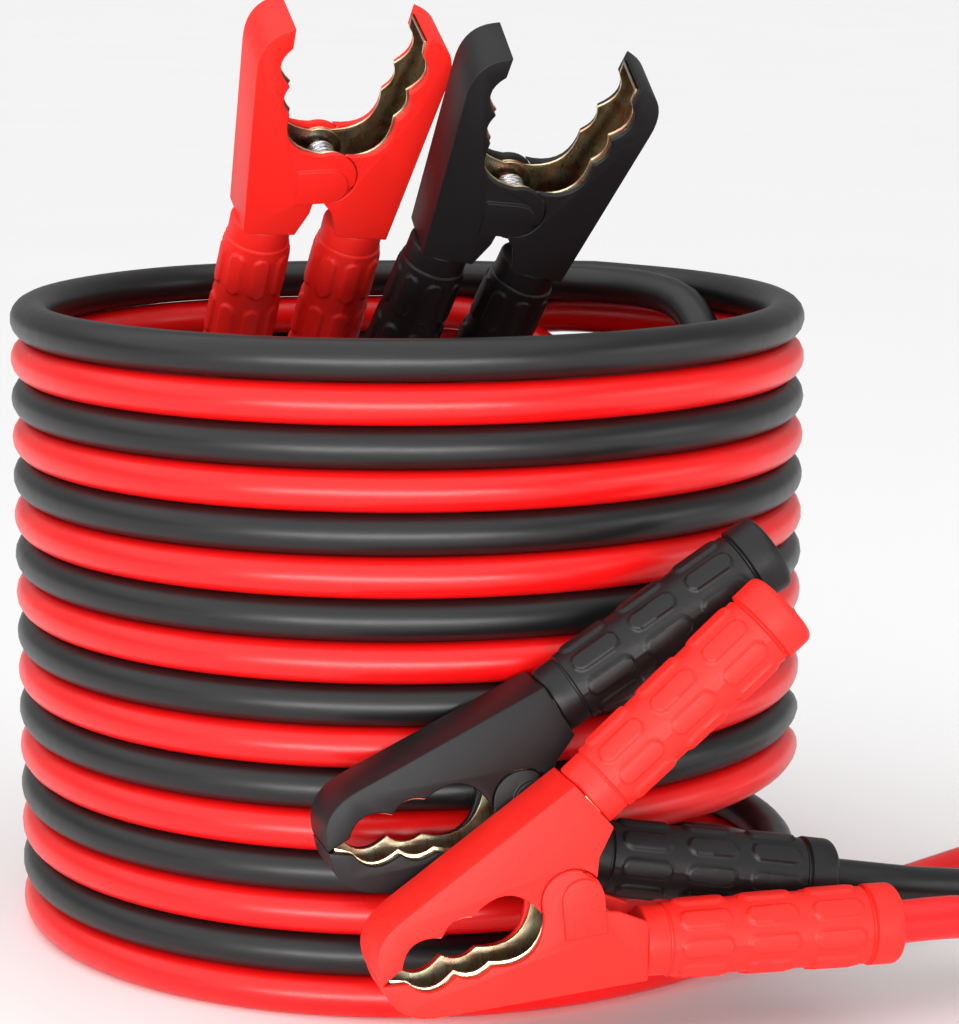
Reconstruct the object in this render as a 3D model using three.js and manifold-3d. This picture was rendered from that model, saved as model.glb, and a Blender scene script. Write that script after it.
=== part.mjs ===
// Heavy car jumper cable, wound for storage, with its four spring clamps.
// Millimetres, +Z up. The coil stands on the floor and its axis is upright.
import * as THREE from 'three';
import { mergeVertices } from 'three/addons/utils/BufferGeometryUtils.js';
import Module from 'manifold-3d';

const wasm = await Module();
wasm.setup();

const DEGREE = Math.PI / 180;

// Clear space between pieces that touch in the real object
const GAP = 0.3;

// Cable and coil
const CABLE_DIAMETER = 15;
const TURNS_PER_CABLE = 8;
const COIL_RADIUS = 146.7;
const CABLE_SIDES = 8;
const COIL_STEPS = 24;
const CABLE_STEP = 36;
const TURN_PITCH = CABLE_DIAMETER + GAP;

// Clamp, measured from its pivot: x to the jaw tips, z up, y along the pin
const CLAMP_WIDTH = 26;
const TIP_REACH = 70.5;
const LIP_HEIGHT = 3;
const NOSE_BACK = 56;
const BACK_RISE = 33.8;
const BACK_TAPER = 15.1 * DEGREE;
const ARM_END = { x: -18.25, z: 28.1 };
const ARM_END_DEPTH = 10.5;
const THROAT = { x: -13.7, z: 10.5 };
const SHELL_WALL = 2.4;
const SHELL_BACK = 2.6;

// Jaw mouth: the points between its hollows, and how deep each hollow is
const MOUTH = [
  { x: 63.4, z: 0 },
  { x: 46, z: 7.3, hollow: 5.4 },
  { x: 33.8, z: 9.7, hollow: 2.4 },
  { x: 11.4, z: 0.4, hollow: 6.9 },
];

// Ear of the lower arm, round the pivot, and the pad that covers the pin
const EAR_RADIUS = 11;
const EAR_CLEARANCE = 0.4;
const EAR_START = 137 * DEGREE;
const NOTCH_START = 159 * DEGREE;
const PAD_THICKNESS = 1.2;
const PAD_WIDTH = 15;
const PAD_OFFSET = -3.5;
const PAD_DROP = 13;

// Pressed-steel jaws: the lower one nests inside the upper one
const STEEL = 1.2;
const STEEL_PROUD = 1;
const STEEL_EAR = 9.5;
const STEEL_EAR_START = 136 * DEGREE;
const TANG_HALF_HEIGHT = 4;
const TANG_LENGTH = 15;

// Pivot pin and torsion spring
const PIN_RADIUS = 3.5;
const PIN_SIDES = 12;
const SPRING_WIRE = 2;
const SPRING_CLEARANCE = 0.8;
const SPRING_TURNS = 4.5;
const SPRING_PITCH = 2.4;
const SPRING_TURN_POINTS = 8;
const SPRING_SIDES = 5;
const SPRING_LEG_X = -11;

// Handles and their rubber grips
const HANDLE_SPLAY = 21 * DEGREE;
const GRIP_LENGTH = 95;
const COLLAR_RADIUS = 12.3;
const COLLAR_LENGTH = 8.5;
const GRIP_START_RADIUS = 12.9;
const GRIP_END_RADIUS = 13.6;
const CAP_RADIUS = 14.3;
const CAP_LENGTH = 11.5;
const CAP_ROUND = 3;
const GROOVE = 1.2;
const GRIP_SIDES = 16;

// How far the top clamps stand open, from tip to tip
const TOP_OPENING = 44 * DEGREE;

// Colours
const RED_MOULDING = new THREE.MeshStandardMaterial({ color: 0xf2362f, roughness: 0.45 });
const BLACK_MOULDING = new THREE.MeshStandardMaterial({ color: 0x2b2b2e, roughness: 0.5 });
const RED_CABLE = new THREE.MeshStandardMaterial({ color: 0xe51414, roughness: 0.3 });
const BLACK_CABLE = new THREE.MeshStandardMaterial({ color: 0x323236, roughness: 0.3 });
const PLATED_STEEL = new THREE.MeshStandardMaterial({
  color: 0xd9b368, roughness: 0.3, metalness: 1,
});
const BRIGHT_STEEL = new THREE.MeshStandardMaterial({
  color: 0xc9cbd0, roughness: 0.25, metalness: 1,
});

// Closed solids

// Drops all but the points, merges them and turns the faces outwards
function solid(geometry) {
  geometry.deleteAttribute('normal');
  geometry.deleteAttribute('uv');
  const merged = mergeVertices(geometry, 1e-3);
  const place = merged.attributes.position;
  const index = merged.index.array;
  const [a, b, c] = [new THREE.Vector3(), new THREE.Vector3(), new THREE.Vector3()];
  const kept = [];
  let volume = 0;
  for (let i = 0; i < index.length; i += 3) {
    const [p, q, r] = [index[i], index[i + 1], index[i + 2]];
    if (p === q || q === r || r === p) continue;
    kept.push(p, q, r);
    a.fromBufferAttribute(place, p);
    b.fromBufferAttribute(place, q);
    c.fromBufferAttribute(place, r);
    volume += a.dot(b.cross(c));
  }
  if (volume < 0) kept.reverse();
  merged.setIndex(kept);
  return merged;
}

function toManifold(geometry) {
  const closed = solid(geometry);
  return new wasm.Manifold(new wasm.Mesh({
    numProp: 3,
    vertProperties: new Float32Array(closed.attributes.position.array),
    triVerts: new Uint32Array(closed.index.array),
  }));
}

function toGeometry(manifold) {
  const mesh = manifold.getMesh();
  const geometry = new THREE.BufferGeometry();
  geometry.setAttribute('position', new THREE.BufferAttribute(mesh.vertProperties, 3));
  geometry.setIndex(new THREE.BufferAttribute(mesh.triVerts, 1));
  return geometry;
}

// A side outline in x and z, given a width along y
function slab(outline, width, segments = 4) {
  const geometry = new THREE.ExtrudeGeometry(outline, {
    depth: width, bevelEnabled: false, curveSegments: segments,
  });
  geometry.translate(0, 0, -width / 2);
  geometry.rotateX(Math.PI / 2);
  return geometry;
}

function roundSection(radius, sides) {
  const section = new THREE.Shape();
  const reach = radius / Math.cos(Math.PI / sides);
  for (let i = 0; i < sides; i += 1) {
    const angle = (i + 0.5) * 2 * Math.PI / sides;
    const point = [reach * Math.cos(angle), reach * Math.sin(angle)];
    if (i === 0) section.moveTo(...point);
    else section.lineTo(...point);
  }
  section.closePath();
  return section;
}

function tube(curve, radius, sides, steps) {
  const section = roundSection(radius, sides);
  return new THREE.ExtrudeGeometry(section, { steps, extrudePath: curve, bevelEnabled: false });
}

// Clamp outlines. Side is 1 for the upper half and -1 for the lower half.

const backSlope = Math.tan(BACK_TAPER);

function backHeight(x, inset) {
  return BACK_RISE - inset / Math.cos(BACK_TAPER) - backSlope * x;
}

const across = { x: Math.sin(HANDLE_SPLAY), z: Math.cos(HANDLE_SPLAY) };
const along = { x: -Math.cos(HANDLE_SPLAY), z: Math.sin(HANDLE_SPLAY) };

// A point by its distance out from the arm's end and its height off the handle's axis
function onHandle(out, height) {
  return [
    ARM_END.x + out * along.x + height * across.x,
    ARM_END.z + out * along.z + height * across.z,
  ];
}

function heel(inset) {
  const rise = backHeight(ARM_END.x, inset) - ARM_END.z;
  return onHandle(0, rise / (across.z + backSlope * across.x));
}

// Follows the back of the arm from the lip round the nose to the given x
function followBack(shape, side, inset, endX) {
  const reach = TIP_REACH - inset;
  shape.lineTo(reach, side * LIP_HEIGHT);
  shape.quadraticCurveTo(
    reach, side * backHeight(reach, inset),
    NOSE_BACK, side * backHeight(NOSE_BACK, inset),
  );
  shape.lineTo(endX, side * backHeight(endX, inset));
}

// Follows the mouth from the pivot to the tip, drawn in by proud
function followMouth(shape, side, proud) {
  for (let i = MOUTH.length - 1; i > 0; i -= 1) {
    const from = MOUTH[i];
    const to = MOUTH[i - 1];
    const fromZ = Math.max(from.z - proud, GAP / 2);
    const toZ = Math.max(to.z - proud, GAP / 2);
    const span = Math.hypot(to.x - from.x, toZ - fromZ);
    const middleX = (from.x + to.x) / 2 - 2 * from.hollow * (toZ - fromZ) / span;
    const middleZ = (fromZ + toZ) / 2 + 2 * from.hollow * (to.x - from.x) / span;
    shape.quadraticCurveTo(middleX, side * middleZ, to.x, side * toZ);
  }
}

function shellOutline(side) {
  const shape = new THREE.Shape();
  const [heelX] = heel(0);
  const [cornerX, cornerZ] = onHandle(0, -ARM_END_DEPTH);
  const last = MOUTH[MOUTH.length - 1];
  shape.moveTo(TIP_REACH, side * GAP / 2);
  followBack(shape, side, 0, heelX);
  shape.lineTo(cornerX, side * cornerZ);
  shape.lineTo(THROAT.x, side * THROAT.z);
  if (side > 0) {
    const radius = EAR_RADIUS + EAR_CLEARANCE;
    shape.absarc(0, 0, radius, NOTCH_START, Math.asin(last.z / radius), true);
  } else {
    shape.absarc(0, 0, EAR_RADIUS, -EAR_START, -Math.asin(last.z / EAR_RADIUS), true);
  }
  followMouth(shape, side, 0);
  shape.closePath();
  return shape;
}

// Everything between the side walls, open to the mouth and to the handle
function pocketOutline(side, inset) {
  const shape = new THREE.Shape();
  const reach = TIP_REACH - inset;
  const past = ARM_END.x - GRIP_LENGTH / 2;
  shape.moveTo(reach, -side * BACK_RISE);
  followBack(shape, side, inset, past);
  shape.lineTo(past, -side * BACK_RISE);
  shape.closePath();
  return shape;
}

function steelOutline(side) {
  const shape = new THREE.Shape();
  const inset = SHELL_BACK + GAP;
  const last = MOUTH[MOUTH.length - 1];
  const lift = Math.asin(last.z / STEEL_EAR);
  shape.moveTo(TIP_REACH - inset, side * GAP / 2);
  followBack(shape, side, inset, heel(inset)[0] + 1);
  const tang = [
    onHandle(0, TANG_HALF_HEIGHT),
    onHandle(TANG_LENGTH, TANG_HALF_HEIGHT),
    onHandle(TANG_LENGTH, -TANG_HALF_HEIGHT),
    onHandle(0, -TANG_HALF_HEIGHT),
  ];
  for (const [x, z] of tang) shape.lineTo(x, side * z);
  if (side > 0) shape.absarc(0, 0, STEEL_EAR, STEEL_EAR_START, 2 * Math.PI + lift, false);
  else shape.absarc(0, 0, STEEL_EAR, -STEEL_EAR_START, -2 * Math.PI - lift, true);
  followMouth(shape, side, STEEL_PROUD);
  shape.closePath();
  return shape;
}

// The hollow of a steel jaw, which keeps a web along the back and the tang
function steelHollow(side) {
  const shape = new THREE.Shape();
  const inset = SHELL_BACK + GAP + STEEL;
  shape.moveTo(TIP_REACH - inset, -side * BACK_RISE);
  followBack(shape, side, inset, heel(inset)[0] + 1);
  const edge = TANG_HALF_HEIGHT - STEEL;
  const rear = [onHandle(0, edge), onHandle(2 * TANG_LENGTH, edge)];
  for (const [x, z] of rear) shape.lineTo(x, side * z);
  shape.lineTo(rear[1][0], -side * BACK_RISE);
  shape.closePath();
  return shape;
}

// Clamp pieces

const shellInside = CLAMP_WIDTH - 2 * SHELL_WALL;
const upperSteelWidth = shellInside - 2 * GAP;
const lowerSteelWidth = upperSteelWidth - 2 * STEEL - 2 * GAP;

function armShell(side) {
  const pocket = toManifold(slab(pocketOutline(side, SHELL_BACK), shellInside));
  const shell = toManifold(slab(shellOutline(side), CLAMP_WIDTH)).subtract(pocket);
  if (side > 0) return toGeometry(shell);
  return toGeometry(shell.add(earPads()));
}

// A raised pad on each side of the ear, squared to the arm's back
function earPads() {
  const pad = new THREE.Shape();
  const half = PAD_WIDTH / 2;
  pad.moveTo(-half, -PAD_DROP);
  pad.lineTo(half, -PAD_DROP);
  pad.lineTo(half, 0);
  pad.absarc(0, 0, half, 0, Math.PI, false);
  pad.closePath();
  const geometry = slab(pad, CLAMP_WIDTH + 2 * PAD_THICKNESS);
  geometry.translate(PAD_OFFSET, 0, 0);
  geometry.rotateY(-BACK_TAPER);
  const between = new THREE.BoxGeometry(4 * PAD_WIDTH, CLAMP_WIDTH - SHELL_WALL, 4 * PAD_WIDTH);
  return toManifold(geometry).subtract(toManifold(between));
}

function steelJaw(side) {
  const width = side > 0 ? upperSteelWidth : lowerSteelWidth;
  const hole = pinSolid(PIN_RADIUS + GAP, CLAMP_WIDTH);
  const hollow = slab(steelHollow(side), width - 2 * STEEL);
  const jaw = toManifold(slab(steelOutline(side), width));
  return toGeometry(jaw.subtract(toManifold(hollow)).subtract(toManifold(hole)));
}

function pinSolid(radius, length) {
  return new THREE.CylinderGeometry(radius, radius, length, PIN_SIDES);
}

function gripProfile() {
  const capStart = GRIP_LENGTH - CAP_LENGTH;
  return [
    [0, GAP],
    [COLLAR_RADIUS, GAP],
    [COLLAR_RADIUS, COLLAR_LENGTH],
    [GRIP_START_RADIUS, COLLAR_LENGTH + GROOVE],
    [GRIP_END_RADIUS, capStart - GROOVE],
    [GRIP_END_RADIUS - GROOVE / 2, capStart],
    [CAP_RADIUS, capStart + GROOVE / 2],
    [CAP_RADIUS, GRIP_LENGTH - CAP_ROUND],
    [CAP_RADIUS - CAP_ROUND / 3, GRIP_LENGTH - CAP_ROUND / 3],
    [CAP_RADIUS - CAP_ROUND, GRIP_LENGTH],
    [0, GRIP_LENGTH],
  ].map(([radius, out]) => new THREE.Vector2(radius, out));
}

// A grip along its handle, with a socket for the steel tang
function rubberGrip(side) {
  const width = (side > 0 ? upperSteelWidth : lowerSteelWidth) + 2 * GAP;
  const depth = TANG_LENGTH + GAP;
  const socket = new THREE.BoxGeometry(2 * TANG_HALF_HEIGHT + 2 * GAP, 2 * depth, width);
  const body = toManifold(new THREE.LatheGeometry(gripProfile(), GRIP_SIDES));
  const geometry = toGeometry(body.subtract(toManifold(socket)));
  const turned = new THREE.Matrix4().makeBasis(
    new THREE.Vector3(across.x, 0, side * across.z),
    new THREE.Vector3(along.x, 0, side * along.z),
    new THREE.Vector3(0, side, 0),
  );
  geometry.applyMatrix4(turned);
  geometry.translate(ARM_END.x, 0, side * ARM_END.z);
  return geometry;
}

// The spring's turns lie round the pin, and one leg presses on the lower jaw's web
function springSolid() {
  const radius = PIN_RADIUS + SPRING_CLEARANCE + SPRING_WIRE / 2;
  const count = Math.round(SPRING_TURNS * SPRING_TURN_POINTS);
  const startY = -SPRING_TURNS * SPRING_PITCH / 2;
  const legInset = SHELL_BACK + 2 * GAP + STEEL + SPRING_WIRE / 2;
  const points = [
    new THREE.Vector3(SPRING_LEG_X, startY, -backHeight(SPRING_LEG_X, legInset)),
    new THREE.Vector3(SPRING_LEG_X / 2 - radius / 2, startY, -BACK_RISE / 3),
  ];
  for (let i = 0; i <= count; i += 1) {
    const angle = Math.PI - i * 2 * Math.PI / SPRING_TURN_POINTS;
    points.push(new THREE.Vector3(
      radius * Math.cos(angle),
      startY + i * SPRING_PITCH / SPRING_TURN_POINTS,
      radius * Math.sin(angle),
    ));
  }
  const curve = new THREE.CatmullRomCurve3(points, false, 'centripetal');
  return tube(curve, SPRING_WIRE / 2, SPRING_SIDES, points.length);
}

// A clamp's place: where its pivot is, which way its jaws point, and the way that
// its near side faces
function clampPose(pivot, towardTip, nearSide) {
  const x = new THREE.Vector3(...towardTip).normalize();
  const y = new THREE.Vector3(...nearSide);
  y.addScaledVector(x, -y.dot(x)).normalize();
  const z = new THREE.Vector3().crossVectors(x, y);
  const place = new THREE.Matrix4().makeBasis(x, y, z);
  place.setPosition(...pivot);
  return place;
}

function clamp(name, place, opening, moulding) {
  const group = new THREE.Group();
  group.applyMatrix4(place);
  const halves = [['upper', 1], ['lower', -1]];
  for (const [half, side] of halves) {
    const arm = new THREE.Group();
    arm.rotation.y = -side * opening / 2;
    arm.add(piece(`${name}_${half}_arm`, armShell(side), moulding));
    arm.add(piece(`${name}_${half}_jaw`, steelJaw(side), PLATED_STEEL));
    arm.add(piece(`${name}_${half}_grip`, rubberGrip(side), moulding));
    if (side < 0) arm.add(piece(`${name}_spring`, springSolid(), BRIGHT_STEEL));
    group.add(arm);
  }
  const pin = pinSolid(PIN_RADIUS, shellInside - 2 * GAP);
  group.add(piece(`${name}_pivot_pin`, pin, BRIGHT_STEEL));
  return group;
}

function piece(name, geometry, material) {
  const mesh = new THREE.Mesh(solid(geometry), material);
  mesh.name = name;
  return mesh;
}

// Where a cable leaves a clamp's lower grip, and which way it points there
function cableExit(place, opening) {
  const turn = new THREE.Matrix4().makeRotationY(opening / 2);
  const full = place.clone().multiply(turn);
  const [endX, endZ] = onHandle(GRIP_LENGTH + GAP, 0);
  const end = new THREE.Vector3(endX, 0, -endZ).applyMatrix4(full);
  const way = new THREE.Vector3(along.x, 0, -along.z).transformDirection(full);
  return { end, way };
}

// Coil of turns, black above red, one closed ring for each turn

function coilHeight(level) {
  return CABLE_DIAMETER / 2 + level * TURN_PITCH;
}

function coilTurn(level) {
  const section = roundSection(CABLE_DIAMETER / 2, CABLE_SIDES).getPoints();
  const profile = section.map(
    (point) => new THREE.Vector2(COIL_RADIUS + point.x, coilHeight(level) + point.y),
  );
  const ring = new THREE.LatheGeometry(profile, COIL_STEPS);
  ring.rotateX(Math.PI / 2);
  return ring;
}

// A turn is faceted, so its sides lie this much closer in than its corners
const facetInset = COIL_RADIUS * (1 - Math.cos(Math.PI / COIL_STEPS));

// Where a cable comes clear of the coil: it leaves as a tangent, at this angle
function leavePoint(angle, level) {
  const clear = COIL_RADIUS - facetInset + TURN_PITCH;
  const run = Math.sqrt(clear ** 2 - COIL_RADIUS ** 2);
  return new THREE.Vector3(
    COIL_RADIUS * Math.cos(angle) - run * Math.sin(angle),
    COIL_RADIUS * Math.sin(angle) + run * Math.cos(angle),
    coilHeight(level),
  );
}

// Where a cable lies against the inner side of the coil
function innerPoint(angle, level) {
  const radius = COIL_RADIUS - facetInset - TURN_PITCH;
  return new THREE.Vector3(
    radius * Math.cos(angle), radius * Math.sin(angle), coilHeight(level),
  );
}

function cable(name, points, material) {
  const curve = new THREE.CatmullRomCurve3(points, false, 'centripetal');
  const steps = Math.round(curve.getLength() / CABLE_STEP);
  return piece(name, tube(curve, CABLE_DIAMETER / 2, CABLE_SIDES, steps), material);
}

// A free length from a clamp: straight out of the grip, along the points, to its end
function freeLength(name, exit, points, end, material) {
  const route = [exit.end, exit.end.clone().addScaledVector(exit.way, 2 * CABLE_DIAMETER)];
  for (const [x, y, z] of points) route.push(new THREE.Vector3(x, y, z));
  route.push(end);
  return cable(name, route, material);
}

// The front clamps stand upright on edge, turned a little, one behind the other
const FRONT_YAW = 15 * DEGREE;
const RED_FRONT_PIVOT = [56.3, -190.4, 60];
const RED_FRONT_DROOP = 20.3 * DEGREE;
const BLACK_FRONT_PIVOT = [40.1, -164.2, 88];
const BLACK_FRONT_DROOP = 11 * DEGREE;

// The top clamps stand open above the bore and lean towards the front
const TOP_YAW = 20 * DEGREE;
const RED_TOP_PIVOT = [-34, 16, 295];
const RED_TOP_WAY = [0.235, -0.454, 0.89];
const BLACK_TOP_PIVOT = [40, 2, 283];
const BLACK_TOP_WAY = [0.37, -0.454, 0.894];

// Where each tail comes off the outside of the coil, and each lead off the inside
const RED_TAIL_ANGLE = -45 * DEGREE;
const BLACK_TAIL_ANGLE = -58 * DEGREE;
const RED_LEAD_ANGLE = 80 * DEGREE;
const BLACK_LEAD_ANGLE = 50 * DEGREE;

// From the front clamps out to a wide bight on the floor and back to the coil
const RED_TAIL = [
  [240, -140, 30], [275, -131, 18], [308, -125, 9], [337, -122, 7.5], [373, -103, 7.5],
  [398, -70, 7.5], [407, -30, 7.5], [398, 10, 7.5], [373, 43, 7.5], [337, 62, 7.5],
  [296, 64, 7.5], [257, 48, 7.5], [226, 18, 7.5], [190, -18, 7.5],
];
const BLACK_TAIL = [
  [215, -108, 34], [252, -103, 20], [290, -100, 9.5], [325, -98, 7.5], [355, -90, 7.5],
  [377, -68, 7.5], [385, -38, 7.5], [377, -8, 7.5], [355, 14, 7.5], [325, 22, 7.5],
  [293, 13, 7.5], [250, -14, 7.5], [205, -43, 8.5], [170, -66, 15],
];

// From the top clamps down one side of the bore, round its floor and up the other side
const RED_LEAD = [
  [-91, 88, 137], [-99, 81, 110], [-110, 62, 84], [-120, 35, 58], [-124, 3, 36],
  [-118, -32, 18], [-100, -68, 8.5], [-70, -98, 7.5], [-30, -117, 7.5], [15, -119, 12],
  [58, -104, 26], [92, -76, 48], [114, -36, 76], [120, 6, 104], [116, 42, 132],
  [101, 77, 162], [78, 104, 190], [51, 119, 210],
];
const BLACK_LEAD = [
  [-36, 78, 137], [-50, 84, 110], [-66, 86, 85], [-82, 78, 60], [-95, 58, 38],
  [-100, 28, 20], [-98, -10, 10], [-85, -48, 7.5], [-64, -77, 7.5], [-30, -97.5, 11],
  [12, -101, 23], [50, -91, 47], [82, -66, 84], [103, -28, 132], [115, 6, 180],
  [120, 36, 216], [112, 63, 233], [96, 86, 237],
];

function frontPose(pivot, droop) {
  const level = Math.cos(droop);
  const way = [-level * Math.cos(FRONT_YAW), -level * Math.sin(FRONT_YAW), -Math.sin(droop)];
  return clampPose(pivot, way, [Math.sin(FRONT_YAW), -Math.cos(FRONT_YAW), 0]);
}

function topPose(pivot, way) {
  return clampPose(pivot, way, [Math.sin(TOP_YAW), -Math.cos(TOP_YAW), 0]);
}

const redFront = frontPose(RED_FRONT_PIVOT, RED_FRONT_DROOP);
const blackFront = frontPose(BLACK_FRONT_PIVOT, BLACK_FRONT_DROOP);
const redTop = topPose(RED_TOP_PIVOT, RED_TOP_WAY);
const blackTop = topPose(BLACK_TOP_PIVOT, BLACK_TOP_WAY);

const body = new THREE.Group();
for (let level = 0; level < 2 * TURNS_PER_CABLE; level += 1) {
  const red = level % 2 === 0;
  const name = `${red ? 'red' : 'black'}_coil_turn_${Math.floor(level / 2) + 1}`;
  body.add(piece(name, coilTurn(level), red ? RED_CABLE : BLACK_CABLE));
}
body.add(clamp('red_front', redFront, 0, RED_MOULDING));
body.add(clamp('black_front', blackFront, 0, BLACK_MOULDING));
body.add(clamp('red_top', redTop, TOP_OPENING, RED_MOULDING));
body.add(clamp('black_top', blackTop, TOP_OPENING, BLACK_MOULDING));

const redTailExit = cableExit(redFront, 0);
const blackTailExit = cableExit(blackFront, 0);
const redLeadExit = cableExit(redTop, TOP_OPENING);
const blackLeadExit = cableExit(blackTop, TOP_OPENING);
const redTailEnd = leavePoint(RED_TAIL_ANGLE, 0);
const blackTailEnd = leavePoint(BLACK_TAIL_ANGLE, 1);
const redLeadEnd = innerPoint(RED_LEAD_ANGLE, 2 * TURNS_PER_CABLE - 2);
const blackLeadEnd = innerPoint(BLACK_LEAD_ANGLE, 2 * TURNS_PER_CABLE - 1);

// The origin is on the floor, midway across the coil and clamps
const middle = new THREE.Box3().expandByObject(body, true).getCenter(new THREE.Vector3());
const model = new THREE.Group();
model.position.set(-middle.x, -middle.y, 0);
model.add(body);
model.add(freeLength('red_tail', redTailExit, RED_TAIL, redTailEnd, RED_CABLE));
model.add(freeLength('black_tail', blackTailExit, BLACK_TAIL, blackTailEnd, BLACK_CABLE));
model.add(freeLength('red_lead', redLeadExit, RED_LEAD, redLeadEnd, RED_CABLE));
model.add(freeLength('black_lead', blackLeadExit, BLACK_LEAD, blackLeadEnd, BLACK_CABLE));

export default model;
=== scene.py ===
"""Looks of the car jumper cable: two wound cables, four spring clamps and a studio."""

import math

import bmesh
import bpy
from bpy.props import FloatProperty, FloatVectorProperty, IntProperty, PointerProperty
from mathutils import Matrix, Vector


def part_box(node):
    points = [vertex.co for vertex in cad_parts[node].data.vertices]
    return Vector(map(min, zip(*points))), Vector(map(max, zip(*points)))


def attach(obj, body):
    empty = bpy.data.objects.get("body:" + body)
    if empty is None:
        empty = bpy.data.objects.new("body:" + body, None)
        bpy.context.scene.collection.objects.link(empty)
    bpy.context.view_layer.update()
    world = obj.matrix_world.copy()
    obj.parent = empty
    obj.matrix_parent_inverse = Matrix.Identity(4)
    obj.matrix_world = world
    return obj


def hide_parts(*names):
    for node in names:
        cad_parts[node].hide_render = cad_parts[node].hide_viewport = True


bl_info = {
    "name": "Car jumper cable",
    "version": (1, 0, 0),
    "blender": (4, 5, 0),
    "location": "View3D > Sidebar > Jumper cable",
    "description": "Red and black booster cables in one coil, with their spring clamps",
    "category": "Object",
}

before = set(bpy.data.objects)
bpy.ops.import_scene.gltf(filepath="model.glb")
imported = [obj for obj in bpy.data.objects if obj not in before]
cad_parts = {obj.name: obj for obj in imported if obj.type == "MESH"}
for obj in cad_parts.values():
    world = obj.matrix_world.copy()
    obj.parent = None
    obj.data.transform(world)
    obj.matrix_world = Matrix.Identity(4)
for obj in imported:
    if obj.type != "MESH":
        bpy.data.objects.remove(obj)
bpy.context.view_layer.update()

MM = 0.001
GAP = 0.3
COLOURS = ("red", "black")
ENDS = ("front", "top")
STILL_BODY = "cables_and_lower_halves"

# Coil, in millimetres from its own axis
COIL_RADIUS = 146.7
TURNS_PER_CABLE = 8
TUBE = 15.0
TURN_PITCH = TUBE + GAP
COIL_FACETS = 24
TOUCH = 0.02
CLIMBS = ((-28, 22), (14, 26), (38, 30), (54, 30), (66, 30), (78, 30), (90, 30))
STEP_IN_FROM = 140
STEP_IN_TO = 92
WINDING_STEP = 12
CABLE_SPACING = 9.0
TUCKED = 4.0
START_ANGLE = {"red": -45, "black": -58}
END_ANGLE = {"red": 80, "black": 50}
FIRST_LEVEL = {"red": 0, "black": 1}

LOW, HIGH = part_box("red_coil_turn_1")
COIL_MIDDLE = Vector(((LOW.x + HIGH.x) / 2, (LOW.y + HIGH.y) / 2, 0))

# The free lengths' routes, from the front clamps to the coil and from the top clamps to it
TAIL = {
    "red": (
        (240, -140, 30), (275, -131, 18), (308, -125, 9), (337, -122, 7.5),
        (373, -103, 7.5), (398, -70, 7.5), (407, -30, 7.5), (398, 10, 7.5),
        (373, 43, 7.5), (337, 62, 7.5), (296, 64, 7.5), (257, 48, 7.5),
        (226, 18, 7.5), (190, -18, 7.5),
    ),
    "black": (
        (215, -108, 34), (252, -103, 20), (290, -100, 9.5), (325, -98, 7.5),
        (355, -90, 7.5), (377, -68, 7.5), (385, -38, 7.5), (377, -8, 7.5),
        (355, 14, 7.5), (325, 22, 7.5), (293, 13, 7.5), (250, -14, 7.5),
        (205, -43, 8.5), (170, -66, 15),
    ),
}
LEAD = {
    "red": (
        (-91, 88, 137), (-99, 81, 110), (-110, 62, 84), (-120, 35, 58), (-124, 3, 36),
        (-118, -32, 18), (-100, -68, 8.5), (-70, -98, 7.5), (-30, -117, 7.5),
        (15, -119, 12), (58, -104, 26), (92, -76, 48), (114, -36, 76), (120, 6, 104),
        (116, 42, 132), (101, 77, 162), (78, 104, 190), (51, 119, 210),
    ),
    "black": (
        (-36, 78, 137), (-50, 84, 110), (-66, 86, 85), (-82, 78, 60), (-95, 58, 38),
        (-100, 28, 20), (-98, -10, 10), (-85, -48, 7.5), (-64, -77, 7.5),
        (-30, -97.5, 11), (12, -101, 23), (50, -91, 47), (82, -66, 84), (103, -28, 132),
        (115, 6, 180), (120, 36, 216), (112, 63, 233), (96, 86, 237),
    ),
}

# Clamp, in millimetres from its pivot: x to the jaw tips, z up, y along the pin
CLAMP_WIDTH = 26.0
TIP_REACH = 70.5
LIP_HEIGHT = 3.0
NOSE_BACK = 56.0
BACK_RISE = 33.8
BACK_TAPER = math.radians(15.1)
ARM_END = (-18.25, 28.1)
ARM_END_DEPTH = 10.5
THROAT = (-13.7, 10.5)
SHELL_WALL = 2.4
SHELL_BACK = 2.6
MOUTH = ((63.4, 0, 0), (46, 7.3, 5.4), (33.8, 9.7, 2.4), (11.4, 0.4, 6.9))
EAR_RADIUS = 11.0
EAR_CLEARANCE = 0.4
EAR_START = math.radians(137)
NOTCH_START = math.radians(159)
PAD_THICKNESS = 1.2
PAD_WIDTH = 15.0
PAD_OFFSET = -3.5
PAD_DROP = 13.0
STEEL = 1.2
STEEL_PROUD = 1.0
STEEL_EAR = 9.5
STEEL_EAR_START = math.radians(136)
TANG_HALF_HEIGHT = 4.0
TANG_LENGTH = 15.0
PIN_RADIUS = 3.5
SPRING_WIRE = 2.0
SPRING_CLEARANCE = 0.8
SPRING_TURNS = 4.5
SPRING_PITCH = 2.4
SPRING_LEG_X = -11.0
HANDLE_SPLAY = math.radians(21)
GRIP_LENGTH = 95.0
COLLAR_RADIUS = 12.3
COLLAR_LENGTH = 8.5
GRIP_START_RADIUS = 12.9
GRIP_END_RADIUS = 13.6
CAP_RADIUS = 14.3
CAP_LENGTH = 11.5
CAP_ROUND = 3.0
GROOVE = 1.2
COLLAR_EDGE = 0.9
COLLAR_EDGE_DROP = 0.7
COLLAR_GROOVE_DEPTH = 0.55
CAP_GROOVE_DEPTH = 0.9
PADS_PER_ROW = 3
PAD_EDGE = 0.6
PARTING_HEIGHT = 0.28
PARTING_HALF_WIDTH = 0.3
CABLE_LIP = 0.5
LIP_BEVEL = 0.6
SHELL_INSIDE = CLAMP_WIDTH - 2 * SHELL_WALL
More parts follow.
